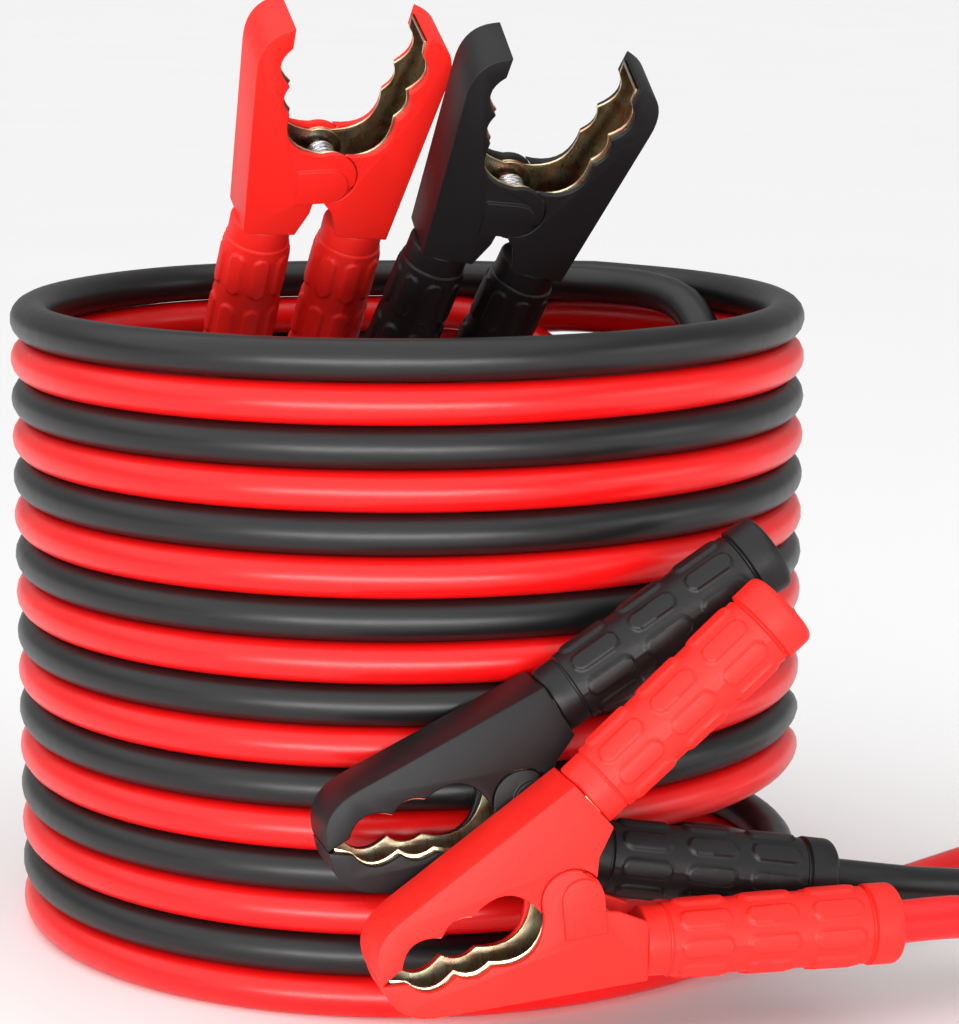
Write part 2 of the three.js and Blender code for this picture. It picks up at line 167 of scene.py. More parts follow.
STEEL_WIDTH = {
    1: SHELL_INSIDE - 2 * GAP,
    -1: SHELL_INSIDE - 4 * GAP - 2 * STEEL,
}
HALVES = (("upper", 1), ("lower", -1))

# Where each clamp's pivot is, from the coil's axis, and how the clamp is turned
FRONT_YAW = math.radians(15)
TOP_YAW = math.radians(20)
TOP_OPENING = math.radians(44)
PIVOT = {
    "red_front": (56.3, -190.4, 60),
    "black_front": (40.1, -164.2, 88),
    "red_top": (-34, 16, 295),
    "black_top": (40, 2, 283),
}
FRONT_DROOP = {"red_front": math.radians(20.3), "black_front": math.radians(11)}
TOP_WAY = {"red_top": (0.235, -0.454, 0.89), "black_top": (0.37, -0.454, 0.894)}
OPENING = {"front": 0.0, "top": TOP_OPENING}

# Camera, from the coil's axis
CAMERA_X = 27.9
CAMERA_AWAY = 1235
CAMERA_HEIGHT = 378
CAMERA_PITCH = math.radians(10.3)
FRAME_HEIGHT = 1024
FOCAL_PIXELS = 3172
LOWERED_PIXELS = 10


class JumperCableSizes(bpy.types.PropertyGroup):
    """Sizes of the pieces that a user would change"""

    jacket: FloatProperty(
        name="Cable", description="Outside diameter of each cable",
        default=(TURN_PITCH - TOUCH) * MM, unit="LENGTH", precision=5,
    )
    cable_sides: IntProperty(
        name="Cable roundness", description="Steps round a quarter of the cable",
        default=7, min=2, max=16,
    )
    edge_round: FloatProperty(
        name="Moulded edges", description="Rounding of the moulded arms' edges, in mm",
        default=0.5, min=0.2, max=2,
    )
    steel_round: FloatProperty(
        name="Steel edges", description="Rounding of the pressed steel's edges, in mm",
        default=0.2, min=0.05, max=0.5,
    )
    pad_rise: FloatProperty(
        name="Grip pads", description="Height of the raised pads on the grips, in mm",
        default=1.0, min=0.2, max=2,
    )
    pad_length: FloatProperty(
        name="Pad length", description="Length of a raised pad, in mm",
        default=18.4, min=5, max=22,
    )
    pad_width: FloatProperty(
        name="Pad width", description="Width of a raised pad, in mm",
        default=6.7, min=2, max=9,
    )
    pad_rows: IntProperty(
        name="Pad rows", description="Rows of raised pads round a grip",
        default=8, min=4, max=12,
    )


class JumperCableColours(bpy.types.PropertyGroup):
    """Colours of the finishes"""

    red_jacket: FloatVectorProperty(
        name="Red cable", description="Colour of the red cable's jacket",
        subtype="COLOR", size=3, default=(0.80, 0.0035, 0.004), min=0, max=1,
    )
    black_jacket: FloatVectorProperty(
        name="Black cable", description="Colour of the black cable's jacket",
        subtype="COLOR", size=3, default=(0.0050, 0.0052, 0.0056), min=0, max=1,
    )
    red_moulding: FloatVectorProperty(
        name="Red arms", description="Colour of the red clamps' moulded arms",
        subtype="COLOR", size=3, default=(0.92, 0.016, 0.010), min=0, max=1,
    )
    black_moulding: FloatVectorProperty(
        name="Black arms", description="Colour of the black clamps' moulded arms",
        subtype="COLOR", size=3, default=(0.0060, 0.0060, 0.0068), min=0, max=1,
    )
    plating: FloatVectorProperty(
        name="Plating", description="Main colour of the plated steel",
        subtype="COLOR", size=3, default=(0.83, 0.62, 0.34), min=0, max=1,
    )


# Plain geometry


def from_axis(point):
    """A place given from the coil's axis in millimetres, in the frame in metres."""
    return COIL_MIDDLE + Vector(point) * MM


def smooth_step(t):
    t = min(max(t, 0.0), 1.0)
    return t * t * (3 - 2 * t)


def through(points, spacing):
    """Places along a smooth curve through the points, about this far apart."""
    before = points[0] * 2 - points[1]
    after = points[-1] * 2 - points[-2]
    line = [before, *points, after]
    places = []
    for i in range(len(points) - 1):
        p0, p1, p2, p3 = line[i : i + 4]
        d0, d1, d2 = ((b - a).length ** 0.5 for a, b in ((p0, p1), (p1, p2), (p2, p3)))
        out = ((p1 - p0) / d0 - (p2 - p0) / (d0 + d1) + (p2 - p1) / d1) * d1
        back = ((p2 - p1) / d1 - (p3 - p1) / (d1 + d2) + (p3 - p2) / d2) * d1
        steps = max(1, round((p2 - p1).length / spacing))
        for k in range(steps):
            t = k / steps
            places.append(
                p1 + out * t + (p2 * 3 - p1 * 3 - out * 2 - back) * t * t
                + (p1 * 2 - p2 * 2 + out + back) * t ** 3
            )
    places.append(points[-1])
    return places


def clamp_place(name):
    """The clamp's own axes, in millimetres from the coil's axis."""
    if name.endswith("front"):
        droop, yaw = FRONT_DROOP[name], FRONT_YAW
        level = math.cos(droop)
        way = Vector((-level * math.cos(yaw), -level * math.sin(yaw), -math.sin(droop)))
    else:
        way, yaw = Vector(TOP_WAY[name]), TOP_YAW
    x = way.normalized()
    y = Vector((math.sin(yaw), -math.cos(yaw), 0))
    y = (y - x * y.dot(x)).normalized()
    z = x.cross(y)
    turn = Matrix((x, y, z)).transposed().to_4x4()
    return Matrix.Translation(Vector(PIVOT[name])) @ turn


def half_place(name, side):
    """The axes of one half of a clamp as it stands open or closed."""
    opening = OPENING[name.split("_")[1]]
    return clamp_place(name) @ Matrix.Rotation(-side * opening / 2, 4, "Y")


def in_frame(place):
    """The same place in metres, in the frame."""
    return Matrix.Translation(COIL_MIDDLE) @ Matrix.Scale(MM, 4) @ place


def cable_exit(name):
    """Where the cable leaves the lower grip, and its direction there."""
    place = half_place(name, -1)
    x, z = on_handle(GRIP_LENGTH + GAP, 0)
    start = place @ Vector((x, 0, -z))
    way = place.to_3x3() @ Vector((ALONG[0], 0, -ALONG[1]))
    return start, way


ALONG = (-math.cos(HANDLE_SPLAY), math.sin(HANDLE_SPLAY))
ACROSS = (math.sin(HANDLE_SPLAY), math.cos(HANDLE_SPLAY))


def on_handle(out, height):
    """A point by its distance out along the handle and its height off it."""
    return (
        ARM_END[0] + out * ALONG[0] + height * ACROSS[0],
        ARM_END[1] + out * ALONG[1] + height * ACROSS[1],
    )


# Wound cables


def coil_point(colour, angle):
    """A place on the winding. The angle runs on from turn to turn, clockwise and up."""
    level = FIRST_LEVEL[colour]
    for turn, (climb, half) in enumerate(CLIMBS, 1):
        start = climb + half - 360 * turn
        level += 2 * smooth_step((start - angle) / (2 * half))
    whole = 360 * TURNS_PER_CABLE
    share = (STEP_IN_FROM - whole - angle) / (STEP_IN_FROM - STEP_IN_TO)
    facet = COIL_RADIUS * (1 - math.cos(math.pi / COIL_FACETS))
    radius = COIL_RADIUS - (facet + TURN_PITCH) * smooth_step(share)
    turned = math.radians(angle)
    return Vector((
        radius * math.cos(turned), radius * math.sin(turned),
        TUBE / 2 + level * TURN_PITCH,
    ))


def leaving_point(colour):
    """Where the tail comes clear of the coil, on the tangent."""
    angle = math.radians(START_ANGLE[colour])
    clear = COIL_RADIUS * math.cos(math.pi / COIL_FACETS) + TURN_PITCH
    run = math.sqrt(clear ** 2 - COIL_RADIUS ** 2)
    return Vector((
        COIL_RADIUS * math.cos(angle) - run * math.sin(angle),
        COIL_RADIUS * math.sin(angle) + run * math.cos(angle),
        TUBE / 2 + FIRST_LEVEL[colour] * TURN_PITCH,
    ))


def cable_route(colour):
    """The whole cable in metres, from the top clamp through the coil to the front one."""
    top, top_way = cable_exit(f"{colour}_top")
    front, front_way = cable_exit(f"{colour}_front")
    last = END_ANGLE[colour] - 360 * TURNS_PER_CABLE
    angles = []
    angle = last
    while angle < START_ANGLE[colour]:
        angles.append(angle)
        angle += WINDING_STEP
    angles.append(START_ANGLE[colour])
    if angles[-1] - angles[-2] < WINDING_STEP / 2:
        angles.pop(-2)
    route = [top - top_way * TUCKED, top + top_way * 2 * TUBE]
    route += [Vector(p) for p in LEAD[colour]]
    route += [coil_point(colour, a) for a in angles]
    route.append(leaving_point(colour))
    route += [Vector(p) for p in reversed(TAIL[colour])]
    route += [front + front_way * 2 * TUBE, front - front_way * TUCKED]
    return [from_axis(p) for p in through(route, CABLE_SPACING)]


def cable_curve(name, route, diameter, sides):
    """A round cable along the route."""
    data = bpy.data.curves.new(name, "CURVE")
    data.dimensions = "3D"
    data.bevel_depth = diameter / 2
    data.bevel_resolution = sides
    data.use_fill_caps = True
    spline = data.splines.new("POLY")
    spline.points.add(len(route) - 1)
    for point, place in zip(spline.points, route):
        point.co = (*place, 1)
    spline.use_smooth = True
    cable = bpy.data.objects.new(name, data)
    bpy.context.collection.objects.link(cable)
    return cable


# Outlines of a clamp's halves, side on


class Outline:
    """A closed side outline. Side is 1 for an upper half and -1 for a lower one."""

    def __init__(self, side, x, z):
        self.side = side
        self.points = [(x, side * z)]

    def line(self, x, z):
        self.points.append((x, self.side * z))

    def curve(self, control_x, control_z, x, z, steps=9):
        from_x, from_z = self.points[-1]
        control_z, z = self.side * control_z, self.side * z
        for k in range(1, steps + 1):
            t = k / steps
            a, b, c = (1 - t) ** 2, 2 * t * (1 - t), t * t
            self.points.append((
                a * from_x + b * control_x + c * x, a * from_z + b * control_z + c * z,
            ))

    def arc(self, radius, start, end, steps=26):
        for k in range(steps + 1):
            angle = start + (end - start) * k / steps
            self.line(radius * math.cos(angle), radius * math.sin(angle))


def back_height(x, inset):
    return BACK_RISE - inset / math.cos(BACK_TAPER) - math.tan(BACK_TAPER) * x


def heel(inset):
    rise = back_height(ARM_END[0], inset) - ARM_END[1]
    return on_handle(0, rise / (ACROSS[1] + math.tan(BACK_TAPER) * ACROSS[0]))


def follow_back(outline, inset, end_x):
    """Up from the lip, round the nose and along the back."""
    reach = TIP_REACH - inset
    outline.line(reach, LIP_HEIGHT)
    outline.curve(
        reach, back_height(reach, inset), NOSE_BACK, back_height(NOSE_BACK, inset),
    )
    outline.line(end_x, back_height(end_x, inset))


def follow_mouth(outline, proud):
    """Through the mouth's hollows, from the pivot to the tip."""
    for nearer, further in zip(MOUTH[::-1], MOUTH[-2::-1]):
        x0, z0, hollow = nearer
        x1, z1, _ = further
        z0, z1 = max(z0 - proud, GAP / 2), max(z1 - proud, GAP / 2)
        span = math.hypot(x1 - x0, z1 - z0)
        outline.curve(
            (x0 + x1) / 2 - 2 * hollow * (z1 - z0) / span,
            (z0 + z1) / 2 + 2 * hollow * (x1 - x0) / span, x1, z1,
        )


def shell_outline(side):
    outline = Outline(side, TIP_REACH, GAP / 2)
    follow_back(outline, 0, heel(0)[0])
    outline.line(*on_handle(0, -ARM_END_DEPTH))
    outline.line(*THROAT)
    last = MOUTH[-1][1]
    if side > 0:
        radius, start = EAR_RADIUS + EAR_CLEARANCE, NOTCH_START
        outline.arc(radius, start, math.asin(last / radius))
    else:
        outline.arc(EAR_RADIUS, EAR_START, 2 * math.pi + math.asin(last / EAR_RADIUS))
    follow_mouth(outline, 0)
    return outline.points[:-1]


def pocket_outline(side):
    outline = Outline(side, TIP_REACH - SHELL_BACK, -BACK_RISE)
    past = ARM_END[0] - GRIP_LENGTH / 2
    follow_back(outline, SHELL_BACK, past)
    outline.line(past, -BACK_RISE)
    return outline.points


def steel_outline(side):
    inset = SHELL_BACK + GAP
    outline = Outline(side, TIP_REACH - inset, GAP / 2)
    follow_back(outline, inset, heel(inset)[0] + 1)
    for out, height in ((0, 1), (1, 1), (1, -1), (0, -1)):
        outline.line(*on_handle(out * TANG_LENGTH, height * TANG_HALF_HEIGHT))
    end = 2 * math.pi + math.asin(MOUTH[-1][1] / STEEL_EAR)
    outline.arc(STEEL_EAR, STEEL_EAR_START, end)
    follow_mouth(outline, STEEL_PROUD)
    return outline.points[:-1]


def steel_hollow(side):
    inset = SHELL_BACK + GAP + STEEL
    outline = Outline(side, TIP_REACH - inset, -BACK_RISE)
    follow_back(outline, inset, heel(inset)[0] + 1)
    edge = TANG_HALF_HEIGHT - STEEL
    outline.line(*on_handle(0, edge))
    end = on_handle(2 * TANG_LENGTH, edge)
    outline.line(*end)
    outline.line(end[0], -BACK_RISE)
    return outline.points


# Mesh work


def slab(outline, width):
    """A flat slab of this side outline, centred across the clamp."""
    bm = bmesh.new()
    ring = [bm.verts.new((x, -width / 2, z)) for x, z in outline]
    face = bm.faces.new(ring)
    grown = bmesh.ops.extrude_face_region(bm, geom=[face])
    moved = [v for v in grown["geom"] if isinstance(v, bmesh.types.BMVert)]
    bmesh.ops.translate(bm, verts=moved, vec=(0, width, 0))
    bmesh.ops.recalc_face_normals(bm, faces=bm.faces)
    return bm


def as_object(name, bm):
    mesh = bpy.data.meshes.new(name)
    bm.to_mesh(mesh)
    bm.free()
    made = bpy.data.objects.new(name, mesh)
    bpy.context.collection.objects.link(made)
    return made


def worked(name, bm, cuts=(), joins=(), rounding=0.5, segments=3, sharp=32):
    """Cuts and joins solids, rounds the edges and gives the finished mesh."""
    base = as_object(name, bm)
    tools = []
    for operation, others in (("UNION", joins), ("DIFFERENCE", cuts)):
        for other in others:
            tool = as_object(name + "_tool", other)
            tools.append(tool)
            cut = base.modifiers.new("cut", "BOOLEAN")
            cut.operation = operation
            cut.object = tool
            cut.solver = "EXACT"
    if rounding:
        bevel = base.modifiers.new("edges", "BEVEL")
        bevel.width = rounding
        bevel.segments = segments
        bevel.limit_method = "ANGLE"
        bevel.angle_limit = math.radians(sharp)
        bevel.use_clamp_overlap = False
        bevel.miter_outer = "MITER_ARC"
    seen = base.evaluated_get(bpy.context.evaluated_depsgraph_get())
    mesh = bpy.data.meshes.new_from_object(seen)
    for made in (*tools, base):
        old = made.data
        bpy.data.objects.remove(made)
        bpy.data.meshes.remove(old)
    mesh.name = name
    for face in mesh.polygons:
        face.use_smooth = True
    mesh.set_sharp_from_angle(angle=math.radians(sharp))
    return mesh


def as_piece(name, mesh, place, materials, body, node):
    """A finished piece in the frame, riding its body in place of the node."""
    mesh.transform(in_frame(place))
    for material in materials:
        mesh.materials.append(material)
    made = bpy.data.objects.new(name, mesh)
    bpy.context.collection.objects.link(made)
    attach(made, body)
    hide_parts(node)
    return made


def body_of(name, side):
    return f"{name}_upper_half" if side > 0 else STILL_BODY


def clamps():
    """Each clamp's name and its colour."""
    return [(f"{colour}_{end}", colour) for colour in COLOURS for end in ENDS]


def pin_hole(depth):
    """What the pin's bore takes out, centred on the pivot."""
    bore = PIN_RADIUS + GAP
    hole = bmesh.new()
    bmesh.ops.create_cone(
        hole, cap_ends=True, segments=48, radius1=bore, radius2=bore, depth=depth,
    )
    turn = Matrix.Rotation(math.pi / 2, 3, "X")
    bmesh.ops.rotate(hole, verts=hole.verts, matrix=turn)
    return hole


def arm_shell(side, rounding):
    pocket = slab(pocket_outline(side), SHELL_INSIDE)
    shell = slab(shell_outline(side), CLAMP_WIDTH)
    if side > 0:
        return worked("arm", shell, cuts=[pocket], rounding=rounding)
    hole = pin_hole(SHELL_INSIDE)
    pads = ear_pads()
    mesh = worked("arm", shell, cuts=[pocket, hole], joins=pads, rounding=rounding)
    tuck_in(mesh, shell_outline(side))
    return mesh


def tuck_in(mesh, outline):
    """Sets back on the side outline each corner that the rounding pushed past it."""
    ring = [Vector(point) for point in outline]
    sides = list(zip(ring, ring[1:] + ring[:1]))
    for vert in mesh.vertices:
        point = Vector((vert.co.x, vert.co.z))
        crossed = sum(
            (a.y > point.y) != (b.y > point.y)
            and point.x < (b.x - a.x) * (point.y - a.y) / (b.y - a.y) + a.x
            for a, b in sides
        )
        if crossed % 2 == 0:
            vert.co.x, vert.co.z = min(
                (nearest_on(point, a, b) for a, b in sides),
                key=lambda place: (place - point).length,
            )


def nearest_on(point, a, b):
    """The point of the straight line from a to b that lies nearest."""
    along = (point - a).dot(b - a) / (b - a).length_squared
    return a + (b - a) * min(max(along, 0), 1)


def ear_pads():
    """A raised pad with a round top on each side of the ear, squared to the back."""
    half = PAD_WIDTH / 2
    outline = [(-half, -PAD_DROP), (half, -PAD_DROP)]
    steps = 20
    for k in range(steps + 1):
        angle = math.pi * k / steps
        outline.append((half * math.cos(angle), half * math.sin(angle)))
    pads = []
    thick = PAD_THICKNESS + SHELL_WALL / 2
    for way in (1, -1):
        pad = slab(outline, thick)
        lift = way * (CLAMP_WIDTH / 2 + PAD_THICKNESS - thick / 2)
        bmesh.ops.translate(pad, verts=pad.verts, vec=(PAD_OFFSET, lift, 0))
        turn = Matrix.Rotation(-BACK_TAPER, 3, "Y")
        bmesh.ops.rotate(pad, verts=pad.verts, matrix=turn)
        pads.append(pad)
    return pads


def steel_jaw(side, rounding):
    width = STEEL_WIDTH[side]
    hollow = slab(steel_hollow(side), width - 2 * STEEL)
    hole = pin_hole(CLAMP_WIDTH)
    mesh = worked(
        "jaw", slab(steel_outline(side), width), cuts=[hollow, hole],
        rounding=rounding, segments=2, sharp=40,
    )
    inside = width / 2 - STEEL + 0.05
    for face in mesh.polygons:
        # Faces inside the channel take the second finish: the plating darkened as painted
        # shade.
        face.material_index = int(abs(face.center.y) < inside)
    return mesh


def grip_radius(out):
    """The rubber grip's plain radius at this distance along it."""
    cap = GRIP_LENGTH - CAP_LENGTH
    if out < COLLAR_LENGTH:
        rise = min(1, (out - GAP) / COLLAR_EDGE)
        return COLLAR_RADIUS - COLLAR_EDGE_DROP * (1 - rise) ** 2
    if out < COLLAR_LENGTH + GROOVE:
        share = (out - COLLAR_LENGTH) / GROOVE
        dip = COLLAR_GROOVE_DEPTH * math.sin(math.pi * share)
        step = GRIP_START_RADIUS - COLLAR_RADIUS
        return COLLAR_RADIUS - dip + step * smooth_step(share)
    if out < cap - GROOVE:
        start = COLLAR_LENGTH + GROOVE
        share = (out - start) / (cap - GROOVE - start)
        return GRIP_START_RADIUS + (GRIP_END_RADIUS - GRIP_START_RADIUS) * share
    if out < cap + GROOVE / 2:
        share = (out - cap + GROOVE) / (1.5 * GROOVE)
        dip = CAP_GROOVE_DEPTH * math.sin(math.pi * share)
        return GRIP_END_RADIUS + (CAP_RADIUS - GRIP_END_RADIUS) * share ** 3 - dip
    turn = GRIP_LENGTH - CAP_ROUND
    if out < turn:
        return CAP_RADIUS
    share = min(1, (out - turn) / CAP_ROUND)
    return CAP_RADIUS - CAP_ROUND * (1 - math.sqrt(max(0, 1 - share * share)))


def pad_height(out, angle, sizes):
    """How far the pads and the parting line stand off the grip here."""
    start = COLLAR_LENGTH + GROOVE
    end = GRIP_LENGTH - CAP_LENGTH - GROOVE
    if not start <= out <= end:
        return 0
    pitch = (end - start) / PADS_PER_ROW
    middle = start + (math.floor((out - start) / pitch) + 0.5) * pitch
    row = 2 * math.pi / sizes.pad_rows
    across = grip_radius(out) * abs((angle + row / 2) % row - row / 2)
    straight = (sizes.pad_length - sizes.pad_width) / 2
    along = max(0, abs(out - middle) - straight)
    inside = sizes.pad_width / 2 - math.hypot(along, across)
    pad = sizes.pad_rise * smooth_step(inside / PAD_EDGE + 0.5)
    quarter = math.pi / 2
    off_line = quarter - abs((angle + quarter) % math.pi - quarter)
    on_line = grip_radius(out) * off_line < PARTING_HALF_WIDTH
    return max(pad, PARTING_HEIGHT if on_line else 0.0)


def rubber_grip(sizes):
    """The grip in its own axes: y along it, z to the clamp's near side."""
    start = COLLAR_LENGTH + GROOVE
    end = GRIP_LENGTH - CAP_LENGTH - GROOVE
    outs = [GAP, 0.6, 0.9, 1.3, 4.5, 8.2, 8.5, 8.8, 9.1, 9.4]
    fine = 112
    outs += [start + (end - start) * k / fine for k in range(fine + 1)]
    outs += [end + 1.8 * k / 6 for k in range(1, 7)]
    outs += [88, GRIP_LENGTH - CAP_ROUND]
    outs += [
        GRIP_LENGTH - CAP_ROUND * (1 - math.sin(k * math.pi / 12)) for k in range(1, 7)
    ]
    around = 120
    angles = [2 * math.pi * k / around for k in range(around)]
    bm = bmesh.new()

    def ring(out, radii):
        return [
            bm.verts.new((radius * math.cos(angle), out, radius * math.sin(angle)))
            for angle, radius in zip(angles, radii)
        ]

    rings = [
        ring(out, [grip_radius(out) + pad_height(out, angle, sizes) for angle in angles])
        for out in outs
    ]
    lip = TUBE / 2 + CABLE_LIP
    rings.append(ring(GRIP_LENGTH, [lip + LIP_BEVEL] * around))
    rings.append(ring(GRIP_LENGTH - LIP_BEVEL, [lip] * around))
    for low, high in zip(rings, rings[1:]):
        for k in range(around):
            n = (k + 1) % around
            bm.faces.new((low[k], low[n], high[n], high[k]))
    bm.faces.new(rings[0])
    bm.faces.new(rings[-1])
    bmesh.ops.recalc_face_normals(bm, faces=bm.faces)
    for face in bm.faces:
        face.smooth = True
    mesh = bpy.data.meshes.new("grip")
    bm.to_mesh(mesh)
    bm.free()
    mesh.set_sharp_from_angle(angle=math.radians(50))
    return mesh


def grip_place(name, side):
    """Where a grip's own axes lie on its half of the clamp."""
    turn = Matrix((
        (ACROSS[0], 0, side * ACROSS[1]),
        (ALONG[0], 0, side * ALONG[1]),
        (0, side, 0),
    )).transposed().to_4x4()
    out = Matrix.Translation(Vector((ARM_END[0], 0, side * ARM_END[1])))
    return half_place(name, side) @ out @ turn


def spring_route(name):
    """The torsion spring's wire: a leg to the lower jaw and the turns round the pin."""
    radius = PIN_RADIUS + SPRING_CLEARANCE + SPRING_WIRE / 2
    start = -SPRING_TURNS * SPRING_PITCH / 2
    inset = SHELL_BACK + 2 * GAP + STEEL + SPRING_WIRE / 2
    points = [
        Vector((SPRING_LEG_X, start, -back_height(SPRING_LEG_X, inset))),
        Vector((SPRING_LEG_X / 2 - radius / 2, start, -BACK_RISE / 3)),
    ]
    steps = 24
    for k in range(round(SPRING_TURNS * steps) + 1):
        angle = math.pi - k * 2 * math.pi / steps
        points.append(Vector((
            radius * math.cos(angle), start + k * SPRING_PITCH / steps,
            radius * math.sin(angle),
        )))
    place = in_frame(half_place(name, -1))
    return [place @ p for p in through(points, 2.0)]


# Finishes


class Wire:
    """A value on its way through a material, which takes part in plain arithmetic."""

    def __init__(self, finish, socket):
        self.finish = finish
        self.socket = socket

    def _with(self, operation, *values):
        kind = {"operation": operation}
        return self.finish.add("ShaderNodeMath", kind, dict(enumerate(values)))

    def __add__(self, other):
        return self._with("ADD", self, other)

    def __radd__(self, other):
        return self._with("ADD", other, self)

    def __mul__(self, other):
        return self._with("MULTIPLY", self, other)

    def __rmul__(self, other):
        return self._with("MULTIPLY", other, self)


class Finish:
    """A node-built material with one principled surface."""

    def __init__(self, name):
        self.material = bpy.data.materials.new(name)
        self.material.use_nodes = True
        self.tree = self.material.node_tree
        self.surface = next(n for n in self.tree.nodes if n.type == "BSDF_PRINCIPLED")
        self.where = self.add("ShaderNodeTexCoord", output="Object")

    def add(self, kind, settings=None, values=None, output=0):
        """A node of this kind: its settings first, then its sockets' values or wires."""
        node = self.tree.nodes.new(kind)
        for name, value in (settings or {}).items():
            if name == "stops":
                ramp = node.color_ramp
                while len(ramp.elements) < len(value):
                    ramp.elements.new(0.5)
                for element, (position, colour) in zip(ramp.elements, value):
                    element.position = position
                    element.color = (*colour, 1)
            else:
                setattr(node, name, value)
        for name, value in (values or {}).items():
            self.feed(node.inputs[name], value)
        return Wire(self, node.outputs[output])

    def feed(self, socket, value):
        if isinstance(value, Wire):
            self.tree.links.new(value.socket, socket)
        else:
            socket.default_value = value

    def noise(self, scale, detail=3.0, stretch=None, distortion=0.0):
        where = self.where
        if stretch:
            kind = {"operation": "MULTIPLY"}
            where = self.add("ShaderNodeVectorMath", kind, {0: where, 1: stretch})
        values = {
            "Vector": where, "Scale": scale, "Detail": detail, "Distortion": distortion,
        }
        return self.add("ShaderNodeTexNoise", None, values)

    def mix(self, share, first, second):
        """A colour between two, by a share from 0 to 1."""
        first = first if isinstance(first, Wire) else (*first, 1)
        second = second if isinstance(second, Wire) else (*second, 1)
        kind = {"data_type": "RGBA"}
        return self.add("ShaderNodeMix", kind, {0: share, 6: first, 7: second}, output=2)

    def ramp(self, share, stops):
        return self.add("ShaderNodeValToRGB", {"stops": stops}, {"Fac": share})

    def band(self, value, low, high):
        """0 below low and 1 above high."""
        kind = {"interpolation_type": "SMOOTHSTEP"}
        values = {"Value": value, "From Min": low, "From Max": high}
        return self.add("ShaderNodeMapRange", kind, values)

    def bump(self, height, distance, strength=1.0):
        values = {"Height": height, "Distance": distance, "Strength": strength}
        self.set("Normal", self.add("ShaderNodeBump", None, values))

    def set(self, name, value):
        self.feed(self.surface.inputs[name], value)


def darker(colour, share):
    return tuple(c * share for c in colour)


def jacket_finish(name, colour, roughness):
    """Smooth extruded cable jacket: glossy, with faint draw marks and handling haze."""
    finish = Finish(name)
    haze = finish.noise(9.0, 4.0)
    mottle = finish.noise(60.0, 3.0)
    share = finish.band(haze * 0.6 + mottle * 0.4, 0.35, 0.7)
    finish.set("Base Color", finish.mix(share, darker(colour, 0.86), colour))
    finish.set("Roughness", roughness + finish.noise(160.0, 2.0) * 0.10)
    ripple = finish.noise(45.0, 2.0)
    grain = finish.noise(1400.0, 2.0)
    finish.bump(ripple * 0.97 + grain * 0.03, 0.00030)
    finish.set("Specular IOR Level", 0.42)
    return finish.material


def moulding_finish(name, colour, roughness):
    """Injection-moulded plastic with a fine spark texture and slight flow marks."""
    finish = Finish(name)
    flow = finish.noise(26.0, 3.0, distortion=0.6)
    share = finish.band(flow, 0.3, 0.72)
    finish.set("Base Color", finish.mix(share, darker(colour, 0.88), colour))
    spark = finish.noise(1500.0, 2.0)
    finish.set("Roughness", roughness + spark * 0.08 + flow * 0.08)
    finish.bump(spark * 0.2 + finish.noise(90.0, 2.0) * 0.8, 0.00012)
    finish.set("Specular IOR Level", 0.3)
    return finish.material


def rubber_finish(name, colour, roughness):
    """Dipped rubber: satin, a little uneven, with dust caught in its surface."""
    finish = Finish(name)
    uneven = finish.noise(40.0, 4.0)
    share = finish.band(uneven, 0.3, 0.75)
    finish.set("Base Color", finish.mix(share, darker(colour, 0.84), colour))
    skin = finish.noise(900.0, 3.0)
    finish.set("Roughness", roughness + skin * 0.10 + uneven * 0.06)
    finish.bump(skin * 0.2 + finish.noise(180.0, 2.0) * 0.8, 0.00016)
    finish.set("Specular IOR Level", 0.34)
    return finish.material


def plated_finish(name, colour, painted_shade_factor):
    """Yellow zinc plating whose tint drifts from gold to rose and green."""
    finish = Finish(name)
    drift = finish.noise(85.0, 2.0, distortion=1.2)
    # The factor darkens the whole ramp; below 1 it is painted shade for the jaws' inner faces.
    stops = (
        (0.30, darker((0.80, 0.36, 0.26), painted_shade_factor)),
        (0.44, darker(colour, painted_shade_factor)),
        (0.56, darker((0.92, 0.80, 0.58), painted_shade_factor)),
        (0.70, darker((0.58, 0.66, 0.30), painted_shade_factor)),
    )
    finish.set("Base Color", finish.ramp(drift, stops))
    finish.set("Metallic", 1.0)
    press = finish.noise(500.0, 3.0, stretch=(1, 1, 0.15))
    finish.set("Roughness", 0.20 + press * 0.18)
    finish.bump(press, 0.00003)
    return finish.material


def bright_finish(name):
    """Bright zinc on the spring and pins, with drawn wire marks."""
    finish = Finish(name)
    marks = finish.noise(700.0, 3.0, stretch=(0.2, 1, 1))
    share = finish.band(marks, 0.35, 0.7)
    finish.set("Base Color", finish.mix(share, (0.50, 0.50, 0.52), (0.78, 0.78, 0.80)))
    finish.set("Metallic", 1.0)
    finish.set("Roughness", 0.18 + marks * 0.16)
    finish.bump(marks, 0.00002)
    return finish.material


def finish_named(kind):
    """The finish of this kind, made on first use."""
    name = f"{kind}_finish"
    found = bpy.data.materials.get(name)
    if found:
        return found
    colours = bpy.context.scene.jumper_colours
    makers = {
        "red_cable": lambda: jacket_finish(name, colours.red_jacket, 0.28),
        "black_cable": lambda: jacket_finish(name, colours.black_jacket, 0.33),
        "red_moulding": lambda: moulding_finish(name, colours.red_moulding, 0.40),
        "black_moulding": lambda: moulding_finish(name, colours.black_moulding, 0.38),
        "red_grip": lambda: rubber_finish(name, colours.red_moulding, 0.42),
        "black_grip": lambda: rubber_finish(name, colours.black_moulding, 0.36),
        "plated_steel": lambda: plated_finish(name, colours.plating, 1.0),
        # The plating at 0.42: a darker copy that paints shade on the jaws' inner faces.
        "plated_inside_painted_shade": lambda: plated_finish(name, colours.plating, 0.42),
        "bright_steel": lambda: bright_finish(name),
    }
    return makers[kind]()


# Operators


